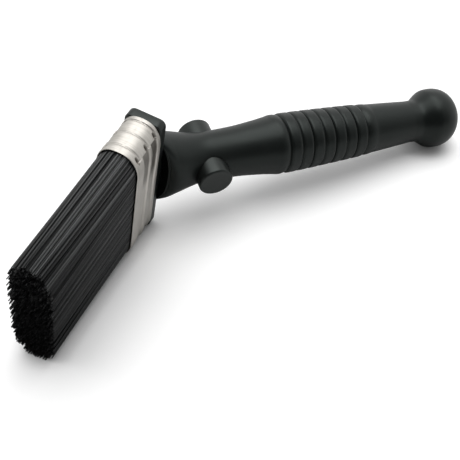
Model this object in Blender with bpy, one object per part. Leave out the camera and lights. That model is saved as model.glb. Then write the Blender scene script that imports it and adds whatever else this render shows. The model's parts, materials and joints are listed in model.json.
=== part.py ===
"""Angled cleaning brush: ribbed soft grip, two rest pegs, steel ferrule and a deep bristle pack.

The brush is modelled in its own frame. The grip runs along +X from the bend, the pegs lie
along Y and the wide side of the head runs along Z. It is then laid on its side, on z = 0.
"""
import random
from math import copysign, cos, pi, radians, sin, tan

import bmesh
import bpy
from mathutils import Matrix, Vector
from mathutils.geometry import delaunay_2d_cdt

# Driving dimensions of the whole brush
BEND_ANGLE = radians(45)
HANDLE_LENGTH = 0.1646
PEG_PLACE = 0.0290
FERRULE_LENGTH = 0.0203
BRISTLE_REACH = 0.0645
HEAD_OFFSET = 0.0004
BLOCK_HALF_WIDTH = 0.0335
BLOCK_HALF_THICKNESS = 0.0086

# Clearances between pieces that touch
SEAT_GAP = 0.0003
CUT_OVERRUN = 0.004

# Steps from the head block out to the ferrule, and along it to the mouth
FERRULE_END_STEP = 0.0015
FERRULE_SIDE_STEP = 0.0006
MOUTH_END_TAPER = 0.0014
MOUTH_SIDE_SWELL = 0.0006
FERRULE_HALF_WIDTH = BLOCK_HALF_WIDTH + FERRULE_END_STEP
FERRULE_HALF_THICKNESS = BLOCK_HALF_THICKNESS + FERRULE_SIDE_STEP
MOUTH_HALF_WIDTH = FERRULE_HALF_WIDTH - MOUTH_END_TAPER
MOUTH_HALF_THICKNESS = FERRULE_HALF_THICKNESS + MOUTH_SIDE_SWELL

# Grip: neck, swell, ribbed stretch, taper and pommel
NECK_RADIUS = 0.0113
NECK_ROOT_HALF_HEIGHT = 0.0212
NECK_ROOT_STEP = 0.0003
NECK_ROOT_HALF_THICKNESS = BLOCK_HALF_THICKNESS - NECK_ROOT_STEP
NECK_ROOT_POWER = 2.3
NECK_SWELL = 0.0027
NECK_SWELL_PEAK_SHARE = 1 / 3
NECK_RING_SHARES = (0, 0.06, 0.14, 0.24, 0.37, 0.53, 0.74, 1)
NECK_ROUND_SHARE = 1 / 3
FALL_POWER = 0.8
FILL_POWER = 3.0
LEAN_POWER = 3.0
ROUND_POWER = 2.0
SWELL_RADIUS = 0.0118
SWELL_MIDDLE_SHARE = 0.55
RIB_START_RADIUS = 0.0139
RIB_END_RADIUS = 0.0122
RIB_COUNT = 7
RIB_CREST = 0.0005
RIB_DEPTH = 0.0009
RIB_RISE_SHARES = ((0.0, 0.0), (0.16, 0.72), (0.5, 1.0), (0.84, 0.72))
POMMEL_NECK_RADIUS = 0.0104
POMMEL_RADIUS = 0.0150
POMMEL_FRONT_LENGTH = 0.0126
POMMEL_BACK_LENGTH = 0.0128
POMMEL_LEAD = 0.0012
POMMEL_POWER = 2.3
POMMEL_FILLET = 0.0024
POMMEL_FILLET_SHARES = ((0.6, 0.04), (1.0, 0.18))
POMMEL_BACK_DEGREES = (134, 120, 105)
POMMEL_FRONT_DEGREES = (90, 74, 58, 42, 27, 13, 4)

# Places along the grip, shared out between the pegs and the pommel
SWELL_PLACE_SHARE = 0.1376
RIB_START_SHARE = 0.3505
RIB_END_SHARE = 0.7321
POMMEL_NECK_PLACE = HANDLE_LENGTH - POMMEL_FRONT_LENGTH - POMMEL_BACK_LENGTH - POMMEL_LEAD
GRIP_RUN = POMMEL_NECK_PLACE - PEG_PLACE
SWELL_PLACE = PEG_PLACE + GRIP_RUN * SWELL_PLACE_SHARE
RIB_START = PEG_PLACE + GRIP_RUN * RIB_START_SHARE
RIB_LENGTH = GRIP_RUN * (RIB_END_SHARE - RIB_START_SHARE)

# Rigid core inside the grip, with its tenon in the head
CORE_LENGTH = 0.1180
CORE_RADIUS = 0.0066
CORE_ROOT_HALF_HEIGHT = 0.0130
CORE_ROOT_HALF_THICKNESS = 0.0052
TENON_HALF_HEIGHT = 0.0105
TENON_HALF_THICKNESS = 0.0034
TENON_POWER = 6.0
TENON_WALL = 0.0019

# Rest pegs and the pin that joins them
PEG_RADIUS = 0.0080
PEG_REACH = 0.0164
PEG_RIM = 0.0009
PEG_SEAT_GAP = 0.0006
PEG_SEAT = CORE_RADIUS + PEG_SEAT_GAP
PIN_RADIUS = 0.0030
PIN_SOCKET = 0.0045

# Head block that plugs into the ferrule
BLOCK_DEPTH = 0.0057
BLOCK_CORNER = 0.0034
BLOCK_EDGE = 0.0009
SPIGOT_LENGTH = 0.0082
DOWEL_RADIUS = 0.0013
DOWEL_PLACE = 0.0058

# Ferrule: sheet, end crown, pressed channels, rolled mouth and lap seam
SHEET = 0.0005
CROWN = 0.0122
CROWN_POWER = 2.4
CHANNEL_DEPTH = 0.0006
MOUTH_LINE_DEPTH = 0.0003
LAP_STEP = 0.0004
LAP_LENGTH = 0.0100
CHANNEL_SHARES = ((0.17, 0.21, 0.33, 0.37), (0.57, 0.61, 0.73, 0.77))
MOUTH_LINE_SHARES = (0.91, 0.93, 0.95)

# Bristle root: setting resin, spacer strips and the slice that carries the strands
RESIN_LENGTH = 0.0052
SPACER_END_GAP = 0.0095
SPACER_HALF_WIDTH = BLOCK_HALF_WIDTH - SPACER_END_GAP
SPACER_HALF_THICKNESS = 0.0012
SPACER_DEPTH = 0.0036
SPACER_OFFSET = 0.0032
SLICE_LENGTH = 0.0034

# Bristle strands
STRAND_PITCH = 0.00150
STRAND_RADIUS_SHARE = 0.45
STRAND_WANDER_SHARE = 0.02
STRAND_RADIUS = STRAND_PITCH * STRAND_RADIUS_SHARE
STRAND_WANDER = STRAND_PITCH * STRAND_WANDER_SHARE
TIP_RAGGED = 0.0009
TIP_END_SHARE = 0.978
TIP_SIDE_SHARE = 1.46
STRAND_SIDES = 3
STRAND_SEED = 11

# Steps of the round shapes
HANDLE_STEPS = 28
ROUND_STEPS = 32
CROWN_STEPS = 12
CORNER_STEPS = 5
SHARP_ANGLE = radians(32)
SETTLE_ROUNDS = 6
PLAN_TOLERANCE = 1e-6


def clear_scene():
    for old in list(bpy.data.objects):
        bpy.data.objects.remove(old, do_unlink=True)


def make_material(name, colour, roughness, metallic=0.0):
    material = bpy.data.materials.new(name)
    material.use_nodes = True
    shader = material.node_tree.nodes["Principled BSDF"]
    shader.inputs["Base Color"].default_value = (*colour, 1.0)
    shader.inputs["Roughness"].default_value = roughness
    shader.inputs["Metallic"].default_value = metallic
    material.diffuse_color = (*colour, 1.0)
    return material


def make_frame(name, matrix, parent=None):
    frame = bpy.data.objects.new(name, None)
    bpy.context.scene.collection.objects.link(frame)
    frame.parent = parent
    frame.matrix_local = matrix
    return frame


def make_piece(name, bm, material, parent):
    """Turn a bmesh into a smooth-shaded object that rides on its frame."""
    bmesh.ops.recalc_face_normals(bm, faces=bm.faces)
    mesh = bpy.data.meshes.new(name)
    bm.to_mesh(mesh)
    bm.free()
    mesh.shade_smooth()
    mesh.set_sharp_from_angle(angle=SHARP_ANGLE)
    mesh.materials.append(material)
    piece = bpy.data.objects.new(name, mesh)
    bpy.context.scene.collection.objects.link(piece)
    piece.parent = parent
    return piece


def loft(rings, ends=True, loop=False):
    """Skin rings of equal count, with both ends capped or with the last ring joined to the first."""
    bm = bmesh.new()
    rows = [[bm.verts.new(point) for point in ring] for ring in rings]
    pairs = list(zip(rows, rows[1:]))
    if loop:
        pairs.append((rows[-1], rows[0]))
    for lower, upper in pairs:
        count = len(lower)
        for i in range(count):
            j = (i + 1) % count
            bm.faces.new((lower[i], lower[j], upper[j], upper[i]))
    if ends:
        bm.faces.new(rows[0])
        bm.faces.new(rows[-1])
    return bm


def cut_away(piece, cutter):
    """Take the cutter's shape out of the piece with an exact Boolean."""
    cutter.hide_render = True
    cutter.display_type = "WIRE"
    modifier = piece.modifiers.new("cut_" + cutter.name, "BOOLEAN")
    modifier.operation = "DIFFERENCE"
    modifier.solver = "EXACT"
    modifier.object = cutter


def swollen(across, up, power):
    """Move a point of the unit circle out to the unit superellipse."""
    return copysign(abs(across) ** (2 / power), across), copysign(abs(up) ** (2 / power), up)


def oval(half_width, half_height, power, steps):
    """Points of a superellipse, as (across, up) pairs."""
    points = []
    for i in range(steps):
        angle = 2 * pi * i / steps
        across, up = swollen(cos(angle), sin(angle), power)
        points.append((half_width * across, half_height * up))
    return points


def handle_ring(x, half_height, half_width, power=ROUND_POWER, lean=0.0, steps=HANDLE_STEPS):
    """A section of the handle, whose plane leans towards the head's mitre."""
    return [Vector((x - lean * y, y, z)) for y, z in oval(half_width, half_height, power, steps)]


def round_rod(start, end, radius, steps=ROUND_STEPS):
    """A straight rod between two points on one axis."""
    run = (end - start).normalized()
    turn = run.to_track_quat("Z", "Y")
    rings = []
    for centre in (start, end):
        rings.append([centre + turn @ Vector((x, y, 0)) for x, y in oval(radius, radius, ROUND_POWER, steps)])
    return loft(rings)


def smooth(share):
    share = min(1.0, max(0.0, share))
    return share * share * (3 - 2 * share)


def blend(first, last, share):
    return first + (last - first) * share


# Places along the bristle direction, counted from the bend
FERRULE_BACK = BLOCK_DEPTH
FERRULE_MOUTH = FERRULE_BACK + FERRULE_LENGTH
SPIGOT_END = FERRULE_BACK + SPIGOT_LENGTH
TENON_END = SPIGOT_END - TENON_WALL
RESIN_BACK = SPIGOT_END + SEAT_GAP
RESIN_FRONT = RESIN_BACK + RESIN_LENGTH
SLICE_BACK = RESIN_FRONT + SEAT_GAP
SLICE_FRONT = SLICE_BACK + SLICE_LENGTH
BRISTLE_TIP = FERRULE_MOUTH + BRISTLE_REACH
INSIDE_FERRULE = -(SHEET + CHANNEL_DEPTH + SEAT_GAP)
STRAND_EDGE = STRAND_RADIUS + STRAND_WANDER + SEAT_GAP


def head_matrix():
    """Head frame: X along the wide side, Y across the pack, Z along the bristles."""
    wide = Vector((0, 0, 1))
    reach = Vector((-cos(BEND_ANGLE), -sin(BEND_ANGLE), 0))
    across = reach.cross(wide)
    turn = Matrix((wide, across, reach)).transposed().to_4x4()
    return Matrix.Translation(HEAD_OFFSET * across) @ turn


def head_ring(place, half_wide, half_thick, power, steps=HANDLE_STEPS):
    """A section square to the bristles, given in the handle's frame."""
    turn = head_matrix()
    return [turn @ Vector((wide, across, place)) for across, wide in oval(half_thick, half_wide, power, steps)]


def neck_rings(root_height, root_thickness, radius, swell, grow):
    """Sections from the mitre against the head block to the pegs, grown by a clearance."""
    root_width = root_thickness * cos(BEND_ANGLE)
    peak = NECK_SWELL_PEAK_SHARE * (1 - NECK_SWELL_PEAK_SHARE) ** 2
    rings = []
    for share in NECK_RING_SHARES:
        left = 1 - share
        lean = tan(BEND_ANGLE) * left ** LEAN_POWER
        start = (SEAT_GAP / cos(BEND_ANGLE)) * left
        fill = blend(root_width, radius, 1 - left ** FILL_POWER)
        rings.append(handle_ring(
            start + PEG_PLACE * share,
            blend(root_height, radius, smooth(share ** FALL_POWER)) + grow,
            fill + swell * share * left ** 2 / peak + grow,
            blend(NECK_ROOT_POWER, ROUND_POWER, min(1, share / NECK_ROUND_SHARE)),
            lean,
        ))
    return rings


def rib_profile():
    """Radii along the ribbed stretch: rounded ribs between narrow grooves."""
    points = []
    for rib in range(RIB_COUNT):
        for share, rise in RIB_RISE_SHARES:
            along = (rib + share) / RIB_COUNT
            base = blend(RIB_START_RADIUS, RIB_END_RADIUS, along)
            points.append((RIB_START + RIB_LENGTH * along, base + RIB_CREST - RIB_DEPTH * (1 - rise)))
    points.append((RIB_START + RIB_LENGTH, RIB_END_RADIUS + RIB_CREST - RIB_DEPTH))
    return points


def pommel_profile():
    """Fillet into the ball, then the ball to its pole."""
    centre = HANDLE_LENGTH - POMMEL_FRONT_LENGTH
    points = [(POMMEL_NECK_PLACE, POMMEL_NECK_RADIUS)]
    for along, out in POMMEL_FILLET_SHARES:
        points.append((POMMEL_NECK_PLACE + POMMEL_FILLET * along, POMMEL_NECK_RADIUS + POMMEL_FILLET * out))
    for length, degrees in ((POMMEL_BACK_LENGTH, POMMEL_BACK_DEGREES), (POMMEL_FRONT_LENGTH, POMMEL_FRONT_DEGREES)):
        for angle in map(radians, degrees):
            along, out = swollen(cos(angle), sin(angle), POMMEL_POWER)
            points.append((centre + length * along, POMMEL_RADIUS * out))
    return points


def build_grip(brush, rubber):
    """Soft sleeve: blind bore for the core, outer neck, ribs, taper and pommel."""
    bore_end = CORE_LENGTH + SEAT_GAP
    bore_radius = CORE_RADIUS + SEAT_GAP
    rings = [handle_ring(bore_end, bore_radius, bore_radius)]
    rings += reversed(neck_rings(CORE_ROOT_HALF_HEIGHT, CORE_ROOT_HALF_THICKNESS, CORE_RADIUS, 0, SEAT_GAP))
    rings += neck_rings(NECK_ROOT_HALF_HEIGHT, NECK_ROOT_HALF_THICKNESS, NECK_RADIUS, NECK_SWELL, 0)
    swell_middle = (SWELL_PLACE + RIB_START) / 2
    rib_lead = RIB_LENGTH / RIB_COUNT / 2
    profile = [
        (SWELL_PLACE, SWELL_RADIUS),
        (swell_middle, blend(SWELL_RADIUS, RIB_START_RADIUS, SWELL_MIDDLE_SHARE)),
        (RIB_START - rib_lead, RIB_START_RADIUS),
    ]
    profile += rib_profile()
    profile.append((RIB_START + RIB_LENGTH + rib_lead, RIB_END_RADIUS))
    profile += pommel_profile()
    rings += [handle_ring(x, radius, radius) for x, radius in profile]
    grip = make_piece("grip_sleeve", loft(rings), rubber, brush)
    reach = PEG_REACH + CUT_OVERRUN
    hole = round_rod(Vector((PEG_PLACE, -reach, 0)), Vector((PEG_PLACE, reach, 0)), PEG_RADIUS + SEAT_GAP)
    cut_away(grip, make_piece("peg_hole_cutter", hole, rubber, brush))
    return grip


def build_core(brush, plastic):
    """Rigid spine: round bar, shoulder on the mitre and the tenon bent into the head."""
    rings = [handle_ring(CORE_LENGTH, CORE_RADIUS, CORE_RADIUS)]
    rings += reversed(neck_rings(CORE_ROOT_HALF_HEIGHT, CORE_ROOT_HALF_THICKNESS, CORE_RADIUS, 0, 0))
    for place in (-SEAT_GAP, TENON_END):
        rings.append(head_ring(place, TENON_HALF_HEIGHT, TENON_HALF_THICKNESS, TENON_POWER))
    core = make_piece("handle_core", loft(rings), plastic, brush)
    reach = CORE_RADIUS + CUT_OVERRUN
    hole = round_rod(Vector((PEG_PLACE, -reach, 0)), Vector((PEG_PLACE, reach, 0)), PIN_RADIUS + SEAT_GAP)
    cut_away(core, make_piece("pin_hole_cutter", hole, plastic, brush))
    return core


def build_pegs(brush, plastic, steel):
    """Two round pegs pushed onto the ends of one cross pin."""
    pin_end = PEG_SEAT + PIN_SOCKET - SEAT_GAP
    pin = round_rod(Vector((PEG_PLACE, -pin_end, 0)), Vector((PEG_PLACE, pin_end, 0)), PIN_RADIUS)
    make_piece("peg_pin", pin, steel, brush)
    socket_radius = PIN_RADIUS + SEAT_GAP
    profile = [
        (PEG_SEAT + PIN_SOCKET, socket_radius),
        (PEG_SEAT, socket_radius),
        (PEG_SEAT, PEG_RADIUS),
        (PEG_REACH - PEG_RIM, PEG_RADIUS),
        (PEG_REACH - PEG_RIM * (1 - sin(pi / 4)), PEG_RADIUS - PEG_RIM * (1 - cos(pi / 4))),
        (PEG_REACH, PEG_RADIUS - PEG_RIM),
    ]
    for name, side in (("rest_peg_near", -1), ("rest_peg_far", 1)):
        rings = []
        for out, radius in profile:
            rings.append([Vector((x, side * out, z)) for x, z in oval(radius, radius, ROUND_POWER, ROUND_STEPS)])
        peg = make_piece(name, loft(rings), plastic, brush)
        peg.location = (PEG_PLACE, 0, 0)


def rounded_rectangle(half_wide, half_thick, corner):
    """Outline of the head block, as (wide, across) pairs."""
    points = []
    for quarter, (side_x, side_y) in enumerate(((1, 1), (-1, 1), (-1, -1), (1, -1))):
        for i in range(CORNER_STEPS):
            angle = (quarter + i / (CORNER_STEPS - 1)) * pi / 2
            points.append((
                side_x * (half_wide - corner) + corner * cos(angle),
                side_y * (half_thick - corner) + corner * sin(angle),
            ))
    return points


def ferrule_halves(place):
    """Half width and half thickness of the ferrule at a place along the bristles."""
    share = (place - FERRULE_BACK) / FERRULE_LENGTH
    wide = blend(FERRULE_HALF_WIDTH, MOUTH_HALF_WIDTH, share)
    thick = blend(FERRULE_HALF_THICKNESS, MOUTH_HALF_THICKNESS, share)
    return wide, thick


def crowned_outline(place, grow):
    """Outline of the ferrule: flat sides and swollen end crowns, as (wide, across) pairs."""
    wide, thick = ferrule_halves(place)
    thick += grow
    crown = CROWN + grow
    flat = wide - CROWN
    points = []
    for side in (1, -1):
        for i in range(CROWN_STEPS + 1):
            angle = side * (pi / 2 - pi * i / CROWN_STEPS)
            out, across = swollen(cos(angle), sin(angle), CROWN_POWER)
            points.append((side * (flat + crown * out), thick * across))
    return points


def flat_ring(outline, place):
    return [Vector((wide, across, place)) for wide, across in outline]


def plug_rings(start, end):
    """Two sections that fit inside the ferrule, with its narrowest outline of the two."""
    outline = crowned_outline(end, INSIDE_FERRULE)
    inner = crowned_outline(start, INSIDE_FERRULE)
    fitting = [(min(a[0], b[0], key=abs), min(a[1], b[1], key=abs)) for a, b in zip(outline, inner)]
    return [flat_ring(fitting, place) for place in (start, end)]


def build_block(head, plastic):
    """End block with its spigot, cut for the tenon and the two dowels."""
    plates = (
        (0, BLOCK_EDGE),
        (BLOCK_EDGE, 0),
        (BLOCK_DEPTH - BLOCK_EDGE, 0),
        (BLOCK_DEPTH - SEAT_GAP, BLOCK_EDGE / 2),
    )
    rings = []
    for place, inset in plates:
        outline = rounded_rectangle(BLOCK_HALF_WIDTH - inset, BLOCK_HALF_THICKNESS - inset, BLOCK_CORNER - inset)
        rings.append(flat_ring(outline, place))
    bm = loft(rings)
    block = make_piece("head_block", bm, plastic, head)
    spigot_rings = plug_rings(FERRULE_BACK - SEAT_GAP, SPIGOT_END)
    spigot_rings[0] = [Vector((x, y, z - BLOCK_EDGE)) for x, y, z in spigot_rings[0]]
    spigot = make_piece("spigot_joiner", loft(spigot_rings), plastic, head)
    spigot.hide_render = True
    spigot.display_type = "WIRE"
    join = block.modifiers.new("join_spigot", "BOOLEAN")
    join.operation = "UNION"
    join.solver = "EXACT"
    join.object = spigot
    slot_outline = oval(TENON_HALF_HEIGHT + SEAT_GAP, TENON_HALF_THICKNESS + SEAT_GAP, TENON_POWER, HANDLE_STEPS)
    slot_rings = [flat_ring(slot_outline, place) for place in (-CUT_OVERRUN, TENON_END + SEAT_GAP)]
    cut_away(block, make_piece("tenon_slot_cutter", loft(slot_rings), plastic, head))
    return block


def build_dowels(head, steel, block, core):
    """Two steel dowels through the spigot and the tenon, hidden by the ferrule."""
    place = (FERRULE_BACK + TENON_END) / 2
    half_run = FERRULE_HALF_THICKNESS + INSIDE_FERRULE - SEAT_GAP
    for name, side in (("head_dowel_upper", 1), ("head_dowel_lower", -1)):
        wide = side * DOWEL_PLACE
        rod = round_rod(Vector((wide, -half_run, place)), Vector((wide, half_run, place)), DOWEL_RADIUS)
        make_piece(name, rod, steel, head)
        reach = FERRULE_HALF_THICKNESS + CUT_OVERRUN
        hole = round_rod(Vector((wide, -reach, place)), Vector((wide, reach, place)), DOWEL_RADIUS + SEAT_GAP)
        cutter = make_piece(name + "_cutter", hole, steel, head)
        cut_away(block, cutter)
        cut_away(core, cutter)


def ferrule_profile():
    """Outer growth along the ferrule: bands, two channels and the rolled line at the mouth."""
    points = [(0, 0)]
    for top, start, end, rise in CHANNEL_SHARES:
        points += [(top, 0), (start, -CHANNEL_DEPTH), (end, -CHANNEL_DEPTH), (rise, 0)]
    top, deep, rise = MOUTH_LINE_SHARES
    points += [(top, 0), (deep, -MOUTH_LINE_DEPTH), (rise, 0), (1, 0)]
    return [(FERRULE_BACK + FERRULE_LENGTH * share, grow) for share, grow in points]


def lapped(outline):
    """Lift the sheet's overlapping edge where the upper crown meets the near flat side."""
    corner_wide, corner_across = outline[CROWN_STEPS]
    lifted = (corner_wide - LAP_STEP / 2, corner_across - LAP_STEP)
    settled = (corner_wide - LAP_LENGTH, corner_across)
    return outline[:CROWN_STEPS + 1] + [lifted, settled] + outline[CROWN_STEPS + 1:]


def build_ferrule(head, steel):
    """Pressed sheet band: outer skin to the mouth, then back along the inner skin."""
    profile = ferrule_profile()
    rings = [flat_ring(lapped(crowned_outline(place, grow)), place) for place, grow in profile]
    for place, grow in reversed(profile):
        rings.append(flat_ring(lapped(crowned_outline(place, grow - SHEET)), place))
    return make_piece("ferrule", loft(rings, ends=False, loop=True), steel, head)


def build_resin(head, resin):
    """Setting resin behind the bristles, with a pocket for each spacer strip."""
    return make_piece("setting_resin", loft(plug_rings(RESIN_BACK, RESIN_FRONT)), resin, head)


def build_spacers(head, wood, resin_block):
    """Two wooden strips that part the bristle roots, sunk in the resin."""
    for name, side in (("spacer_strip_near", -1), ("spacer_strip_far", 1)):
        strip_back = RESIN_FRONT - SPACER_DEPTH
        for grow, suffix, start, end in (
            (0, "", strip_back, RESIN_FRONT),
            (SEAT_GAP, "_cutter", strip_back - SEAT_GAP, RESIN_FRONT + CUT_OVERRUN),
        ):
            outline = rounded_rectangle(
                SPACER_HALF_WIDTH + grow, SPACER_HALF_THICKNESS + grow, SPACER_HALF_THICKNESS / 2
            )
            shifted = [(wide, across + side * SPACER_OFFSET) for wide, across in outline]
            rings = [flat_ring(shifted, place) for place in (start, end)]
            piece = make_piece(name + suffix, loft(rings), wood, head)
            if suffix:
                cut_away(resin_block, piece)


def inside_slice(wide, across, inset):
    """Whether a strand's centre lies inside the slice's outline, away from its edge."""
    ends = [ferrule_halves(place) for place in (SLICE_BACK, SLICE_FRONT)]
    half_width = min(width for width, _ in ends)
    half_thickness = min(thickness for _, thickness in ends)
    thick = half_thickness + INSIDE_FERRULE - inset
    crown = CROWN + INSIDE_FERRULE - inset
    past_flat = max(0.0, abs(wide) - (half_width - CROWN))
    return (past_flat / crown) ** CROWN_POWER + (abs(across) / thick) ** CROWN_POWER < 1


def strand_roots():
    """Root centres on a staggered grid inside the slice."""
    row_pitch = STRAND_PITCH * sin(pi / 3)
    rows = int(FERRULE_HALF_THICKNESS / row_pitch) + 1
    columns = int(FERRULE_HALF_WIDTH / STRAND_PITCH) + 1
    roots = []
    for row in range(-rows, rows + 1):
        for column in range(-columns, columns + 1):
            wide = (column + 0.5 * (row % 2)) * STRAND_PITCH
            across = row * row_pitch
            if inside_slice(wide, across, STRAND_EDGE):
                roots.append((wide, across))
    return roots


def build_bristles(head, nylon):
    """Strands of three sides, fused to the slice that the resin holds."""
    dice = random.Random(STRAND_SEED)
    outline = [(point.x, point.y) for point in plug_rings(SLICE_BACK, SLICE_FRONT)[0]]
    roots = strand_roots()
    plan = [Vector(point) / STRAND_PITCH for point in outline]
    faces = [list(reversed(range(len(outline))))]
    for wide, across in roots:
        turn = dice.uniform(0, 2 * pi)
        first = len(plan)
        for corner in range(STRAND_SIDES):
            angle = turn + 2 * pi * corner / STRAND_SIDES
            point = Vector((wide + STRAND_RADIUS * cos(angle), across + STRAND_RADIUS * sin(angle)))
            plan.append(point / STRAND_PITCH)
        faces.append(list(range(first, first + STRAND_SIDES)))
    corners, _, triangles, origin, _, sources = delaunay_2d_cdt(plan, [], faces, 1, PLAN_TOLERANCE)

    bm = bmesh.new()
    front = [bm.verts.new((x * STRAND_PITCH, y * STRAND_PITCH, SLICE_FRONT)) for x, y in corners]
    for triangle, source in zip(triangles, sources):
        if max(source) == 0:
            bm.faces.new([front[i] for i in triangle])
    place_of = {source: index for index, group in enumerate(origin) for source in group}
    back = []
    rim = [front[place_of[i]] for i in range(len(outline))]
    for vertex in rim:
        back.append(bm.verts.new((vertex.co.x, vertex.co.y, SLICE_BACK)))
    for i in range(len(rim)):
        j = (i + 1) % len(rim)
        bm.faces.new((rim[i], rim[j], back[j], back[i]))
    bm.faces.new(back)

    for (wide, across), face in zip(roots, faces[1:]):
        centre_x = wide * TIP_END_SHARE + dice.uniform(-STRAND_WANDER, STRAND_WANDER)
        centre_y = across * TIP_SIDE_SHARE + dice.uniform(-STRAND_WANDER, STRAND_WANDER)
        tip_place = BRISTLE_TIP - dice.uniform(0, TIP_RAGGED)
        base = [front[place_of[i]] for i in face]
        tip = []
        for vertex in base:
            tip.append(bm.verts.new((centre_x + vertex.co.x - wide, centre_y + vertex.co.y - across, tip_place)))
        for i in range(STRAND_SIDES):
            j = (i + 1) % STRAND_SIDES
            bm.faces.new((base[i], base[j], tip[j], tip[i]))
        bm.faces.new(tip)
    print("strands:", len(roots))
    return make_piece("bristles", bm, nylon, head)


def world_points(pieces):
    """Corners of the pieces as they are seen, in world space."""
    bpy.context.view_layer.update()
    graph = bpy.context.evaluated_depsgraph_get()
    points = []
    for piece in pieces:
        seen = piece.evaluated_get(graph)
        mesh = seen.to_mesh()
        points += [seen.matrix_world @ vertex.co for vertex in mesh.vertices]
        seen.to_mesh_clear()
    return points


def lay_down(brush, feet):
    """Turn the brush until its three feet share one level plane, then set that plane at zero."""
    up = Vector((0, 0, 1))
    for _ in range(SETTLE_ROUNDS):
        low = [min(world_points([foot]), key=lambda point: point.z) for foot in feet]
        normal = (low[1] - low[0]).cross(low[2] - low[0]).normalized()
        if normal.z < 0:
            normal.negate()
        brush.matrix_world = normal.rotation_difference(up).to_matrix().to_4x4() @ brush.matrix_world
        bpy.context.view_layer.update()
    along = brush.matrix_world.to_3x3() @ Vector((1, 0, 0))
    heading = Vector((1, 0)).angle_signed(Vector((along.x, along.y)))
    brush.matrix_world = Matrix.Rotation(heading, 4, "Z") @ brush.matrix_world
    points = world_points([piece for piece in brush.children_recursive
                           if piece.type == "MESH" and not piece.hide_render])
    low = [min(point[axis] for point in points) for axis in range(3)]
    high = [max(point[axis] for point in points) for axis in range(3)]
    shift = Vector((-(low[0] + high[0]) / 2, -(low[1] + high[1]) / 2, -low[2]))
    brush.matrix_world = Matrix.Translation(shift) @ brush.matrix_world


def main():
    clear_scene()
    rubber = make_material("soft_grip_rubber", (0.018, 0.020, 0.019), 0.55)
    plastic = make_material("black_plastic", (0.022, 0.024, 0.023), 0.48)
    core_plastic = make_material("core_plastic", (0.06, 0.06, 0.062), 0.5)
    stainless = make_material("brushed_stainless", (0.62, 0.60, 0.57), 0.28, 1.0)
    pin_steel = make_material("pin_steel", (0.55, 0.55, 0.56), 0.3, 1.0)
    resin = make_material("amber_resin", (0.35, 0.22, 0.08), 0.25)
    wood = make_material("spacer_wood", (0.45, 0.30, 0.17), 0.7)
    nylon = make_material("black_nylon", (0.012, 0.012, 0.013), 0.35)

    brush = make_frame("brush_frame", Matrix.Identity(4))
    head = make_frame("head_frame", head_matrix(), brush)

    grip = build_grip(brush, rubber)
    core = build_core(brush, core_plastic)
    build_pegs(brush, plastic, pin_steel)
    block = build_block(head, plastic)
    build_dowels(head, pin_steel, block, core)
    ferrule = build_ferrule(head, stainless)
    resin_block = build_resin(head, resin)
    build_spacers(head, wood, resin_block)
    bristles = build_bristles(head, nylon)
    lay_down(brush, (grip, ferrule, bristles))


main()
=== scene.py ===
import json
import random
from functools import partial
from math import copysign, cos, pi, radians, sin

import bmesh
import bpy
from mathutils import Matrix, Vector


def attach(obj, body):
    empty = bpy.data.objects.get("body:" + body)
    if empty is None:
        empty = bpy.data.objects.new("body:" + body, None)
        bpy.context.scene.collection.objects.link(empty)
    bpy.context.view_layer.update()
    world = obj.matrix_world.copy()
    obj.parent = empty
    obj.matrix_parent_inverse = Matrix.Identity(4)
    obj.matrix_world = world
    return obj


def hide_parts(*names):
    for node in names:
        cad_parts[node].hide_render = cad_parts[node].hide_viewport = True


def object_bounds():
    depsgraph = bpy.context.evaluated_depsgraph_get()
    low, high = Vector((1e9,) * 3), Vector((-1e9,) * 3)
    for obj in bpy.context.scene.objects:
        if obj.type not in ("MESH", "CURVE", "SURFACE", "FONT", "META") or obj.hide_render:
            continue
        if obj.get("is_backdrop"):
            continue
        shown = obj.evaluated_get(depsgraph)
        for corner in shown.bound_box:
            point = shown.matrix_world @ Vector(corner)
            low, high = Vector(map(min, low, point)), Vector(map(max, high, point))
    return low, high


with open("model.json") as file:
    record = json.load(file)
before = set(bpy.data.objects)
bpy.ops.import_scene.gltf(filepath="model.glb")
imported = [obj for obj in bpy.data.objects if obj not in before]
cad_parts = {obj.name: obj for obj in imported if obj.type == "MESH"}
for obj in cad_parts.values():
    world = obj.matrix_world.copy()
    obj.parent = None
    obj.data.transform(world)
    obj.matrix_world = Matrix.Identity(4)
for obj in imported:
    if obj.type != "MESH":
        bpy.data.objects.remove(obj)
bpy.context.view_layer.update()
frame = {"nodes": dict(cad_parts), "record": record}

# How the brush lies: on its side, with the ball end, the ferrule and the bristle tips on the bench.
# The record gives the two peg faces. The grip has no turn about the upright, so the line from one
# face to the other fixes the whole brush: X along the grip, Y along the pegs, the bend at zero.
PEG_PLACE = 0.0290
peg_faces = {mount["name"]: mount for mount in frame["record"]["mounts"]}
peg_line = Vector(peg_faces["far_peg_face"]["axis"]).normalized()
grip_line = Vector((peg_line.z, 0, -peg_line.x)).normalized()
near_face, far_face = (Vector(peg_faces[name]["pos_m"]) for name in ("near_peg_face", "far_peg_face"))
peg_middle = (near_face + far_face) / 2
brush = Matrix((grip_line, peg_line, grip_line.cross(peg_line))).transposed().to_4x4()
brush.translation = peg_middle - grip_line * PEG_PLACE

# Camera: a short telephoto held over the bristle end, looking down along the grip.
# Its place and turn are given against the brush, and the frame is square.
EYE = Vector((-0.0884, -0.2237, 0.2708))
EYE_RIGHT = Vector((0.9245, -0.3470, 0.1575))
EYE_UP = Vector((0.1898, 0.7777, 0.5993))
LENS = 62.6
SENSOR = 36.0
NEAR_CLIP = 0.01

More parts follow.
